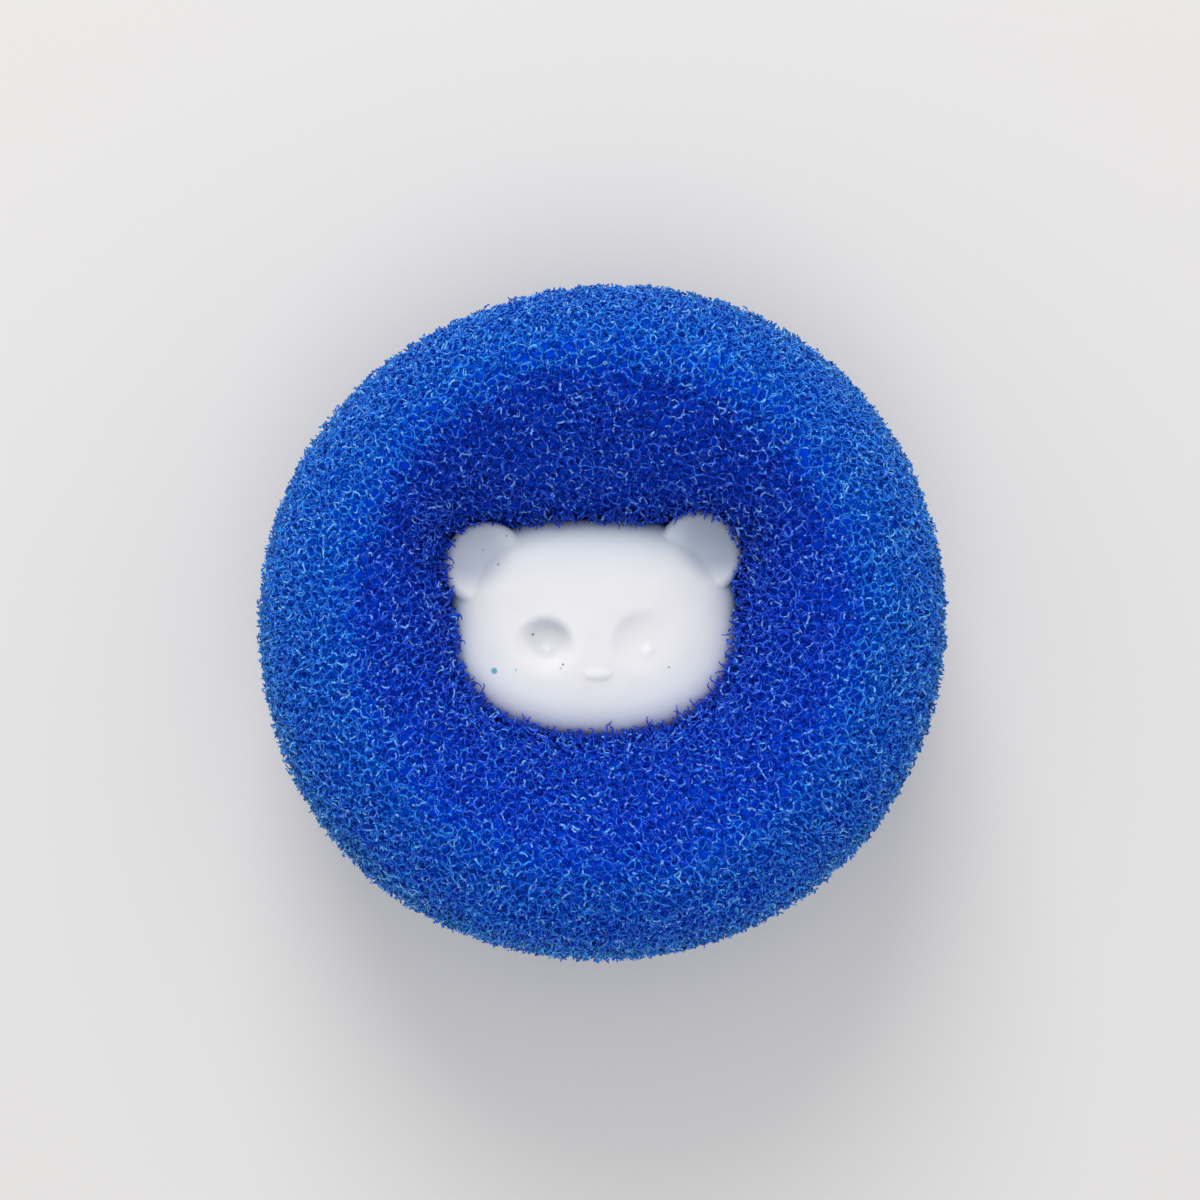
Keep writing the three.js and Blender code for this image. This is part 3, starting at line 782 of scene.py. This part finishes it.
# Loose ends of cut cells that curl over the edge of the head.
rim = skin[:, 100:128]
tight = np.argmin(np.hypot(rim[..., 0] - HOLE[0], rim[..., 1] - HOLE[1]), 1)
tight = np.minimum(tight + 2, rim.shape[1] - 1)
row = rng.integers(0, len(skin), 250)
at = rim[row, tight[row]] + rng.normal(0, 0.12, (len(row), 3))
inward = np.stack([HOLE[0] - at[:, 0], HOLE[1] - at[:, 1]], 1)
inward /= np.linalg.norm(inward, axis=1, keepdims=True)
heading = np.arctan2(inward[:, 1], inward[:, 0]) + rng.normal(0, 0.45, len(row))
curl = rng.choice([-1, 1], len(row)) * rng.uniform(0.3, 1.2, len(row))
long = np.minimum(0.16 + rng.gamma(1.5, 0.19, len(row)), 0.85)
step = lambda a, l: np.stack([np.cos(a) * l, np.sin(a) * l, 0 * l], 1)
knee = at + step(heading, long)
tip = knee + step(heading + curl, long * rng.uniform(0.5, 1.0, len(row)))
for end, lift in ((knee, 0.12), (tip, 0.2)):
    for i in range(len(row)):
        end[i, 2] = max(end[i, 2], head_top(end[i, 0], end[i, 1]) + lift + 0.12 * long[i])
root = at - np.concatenate([inward * 0.5, np.full((len(row), 1), 0.1)], 1)
pa, pb = np.concatenate([pa, root, knee]), np.concatenate([pb, knee, tip])
thick = np.concatenate([thick, np.full(len(row), 0.085), np.full(len(row), 0.075)])
fine = np.concatenate([fine, np.ones(2 * len(row), bool)])
cut = np.concatenate([cut, np.zeros(len(row), bool), np.ones(len(row), bool)])
loose = np.arange(len(pa)) >= len(pa) - 2 * len(row)
middle = (pa + pb) / 2
around = np.arctan2(middle[:, 1], middle[:, 0])
across = np.hypot(middle[:, 0], middle[:, 1] / RING_Y)
# Painted light and shade: struts past the bowl's edge get the paler outside blues, those in the bowl the deeper ones;
# at the top the pale blues begin further in.
outward = smooth((across - crest_radius(around) + 3.0 + 1.4 * np.maximum(np.sin(around), 0)) / 3.4)
# Below the chin the bowl and the outside are painted more alike: less of the painted light outside, and a few outside
# blues in the bowl.
low = np.maximum(-np.sin(around), 0)
outward = outward * (1 - 0.3 * low) + 0.13 * low * (1 - outward)
outside = rng.uniform(0, 1, len(pa)) < outward
# Along the widest level the rim blues are painted shade and light at the outline.
at_rim = rng.uniform(0, 1, len(pa)) < 0.7 * smooth((across - 32.3) / 2.2)
pick = rng.uniform(0, 1, len(pa))
# Near the skin some struts get the light and glint blues, painted highlights; struts deeper down keep the darker blues,
# painted shade.
tint = np.where(fine, np.searchsorted([0.42, 0.72, 0.90], pick), pick > 0.6) + 4 * outside
tint = np.where(at_rim, np.where(pick > 0.88, 7, np.where(pick > 0.68, 6, 8 + (pick > 0.32))), tint)
# Painted shade: on the bowl's upper wall many of the darker blues become the shade blues.
tint = np.where((tint < 2) & (rng.uniform(0, 1, len(pa)) < 0.7 * smooth(1.5 * np.sin(around))), tint + 10, tint)
# The loose ends get the darkest blues, mostly the painted shade one.
tint = np.where(loose, np.where(pick > 0.3, 10, 0), tint)
SECTORS = 24
sector = np.floor((np.arctan2(middle[:, 1], middle[:, 0]) / (2 * np.pi) % 1) * SECTORS).astype(int) % SECTORS
sizes = []
for k in range(SECTORS):
    i, j = (sector == k) & fine, (sector == k) & ~fine
    verts, (tris, sides) = fine_struts(pa[i], pb[i], thick[i], cut[i])
    verts2, (tris2,) = plain_struts(pa[j], pb[j], thick[j])
    shade, shade2 = tint[i], tint[j]
    groups = np.concatenate([np.tile(shade, 6), np.tile(shade, 6), np.tile(shade2, 4)])
    net = mesh_object(f"sponge_net_{k + 1}", np.concatenate([verts, verts2]), [tris, sides, tris2 + len(verts)], groups=groups)
    for blue in STRUT_BLUES:
        net.data.materials.append(blue)
    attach(net, "sponge")
    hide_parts("sponge_ring")
    sizes.append(int(i.sum() * 18 + j.sum() * 4))
print("net triangles", sizes, sum(sizes), "fine", fine.sum(), "plain", (~fine).sum(), file=sys.stderr)

# ---------------------------------------------------------------- head pieces
# Specks of blue and of dirt that the foam has left on the face, and painted shade over the left eye's recess.
GREY, TEAL = (0.16, 0.17, 0.20), (0.16, 0.46, 0.58)
MARKS = [
    (on_head(x, y), radius, stain)
    for x, y, radius, stain in (
        # The first, wide and soft over the left eye's recess, is painted shade that darkens the recess; the others are
        # specks.
        (-5.6, -2.3, 2.3, (0.69, 0.695, 0.72)), (-10.76, -5.83, 0.34, TEAL), (-8.6, -5.75, 0.14, (0.35, 0.62, 0.75)), (-6.96, -2.21, 0.14, GREY),
        (-3.97, -5.22, 0.13, (0.25, 0.26, 0.30)), (6.52, -5.45, 0.12, (0.4, 0.41, 0.46)), (-10.4, 4.75, 0.13, (0.25, 0.26, 0.33)),
        (-9.6, 7.65, 0.12, (0.3, 0.31, 0.37)), (-11.96, 6.2, 0.13, (0.38, 0.4, 0.46)), (-4.2, -5.6, 0.11, (0.45, 0.46, 0.5)),
    )
]
# The ears are thinner, so they look a little greyer; they are painted darker still as painted shade from the foam round
# them, the right ear most.
EAR_GREY_AND_SHADE = [
    (HEAD + (x * TURN_C + 8.5 * TURN_S, y, 8.5 * TURN_C - x * TURN_S), 4.0, grey)
    for x, y, grey in ((-12.6, 7.7, (0.53, 0.57, 0.65)), (12.0, 8.9, (0.47, 0.53, 0.61)))
]
for name, node, field, lo, hi, slot in (
    ("head_front", "head_front_shell", front_shell, (-16.9, -12.3, -2.0), (16.0, 13.4, 10.2), "white_plastic_front"),
    ("head_rear", "head_rear_shell", rear_shell, (-16.9, -12.3, -9.6), (16.0, 13.4, 0.5), "white_plastic_rear"),
):
    v, q = surface_net(field, lo, hi, 0.26)
    turned = np.stack([v[:, 0] * TURN_C + v[:, 2] * TURN_S, v[:, 1], v[:, 2] * TURN_C - v[:, 0] * TURN_S], 1)
    ob = mesh_object(name, turned + HEAD, q)
    ob.data.materials.append(plastic_material(name + "_plastic", (0.835, 0.83, 0.83), EAR_GREY_AND_SHADE + MARKS if name == "head_front" else []))
    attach(ob, "head")
    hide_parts(node)
    print(name, len(q))

# ---------------------------------------------------------------- floor, light, camera
me = bpy.data.meshes.new("floor")
w = 3.0
me.from_pydata([(-w, -w, 0), (w, -w, 0), (w, w, 0), (-w, w, 0)], [], [(0, 1, 2, 3)])
floor = bpy.data.objects.new("floor", me)
scene.collection.objects.link(floor)
m, nt, bs = material("floor_pale")
bs.inputs["Base Color"].default_value = (0.725, 0.715, 0.70, 1)
bs.inputs["Roughness"].default_value = 0.9
me.materials.append(m)
floor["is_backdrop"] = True

world = bpy.data.worlds.new("studio")
scene.world = world
world.use_nodes = True
world.node_tree.nodes["Background"].inputs[0].default_value = (0.98, 0.98, 1.0, 1)
world.node_tree.nodes["Background"].inputs[1].default_value = 0.645


def area_light(name, at, to, size, power, colour=(1, 1, 1)):
    d = bpy.data.lights.new(name, "AREA")
    d.shape = "DISK"
    d.size = size
    d.energy = power
    d.color = colour
    o = bpy.data.objects.new(name, d)
    o.location = at
    o.rotation_euler = (Vector(to) - Vector(at)).to_track_quat("-Z", "Y").to_euler()
    scene.collection.objects.link(o)
    return o


area_light("key", (-0.10, 0.66, 0.57), (0, 0, 0.02), 0.5, 3.75, (1.0, 0.99, 0.97))
area_light("front", (0.0, -0.30, 0.86), (0, 0, 0.02), 0.6, 1.82, (0.98, 0.99, 1.0))

scene.view_settings.view_transform = "Standard"
scene.view_settings.look = "None"

ELEVATION, DISTANCE, PIXEL = math.radians(85.0), 0.260, 0.10262 * MM
up = Vector((0, math.sin(ELEVATION), math.cos(ELEVATION)))
aim = Vector((0, 0, 0.019)) + Vector((-3.06 * PIXEL, 0, 0)) + up * (19.6 * PIXEL)
cam_data = bpy.data.cameras.new("camera")
cam_data.sensor_width = 36.0
cam_data.lens = 36.0 * DISTANCE / (1200 * PIXEL)
cam_data.clip_start, cam_data.clip_end = 0.01, 10
cam = bpy.data.objects.new("camera", cam_data)
cam.location = aim + Vector((0, -math.cos(ELEVATION), math.sin(ELEVATION))) * DISTANCE
cam.rotation_euler = (aim - cam.location).to_track_quat("-Z", "Y").to_euler()
scene.collection.objects.link(cam)
scene.camera = cam

lo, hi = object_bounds()
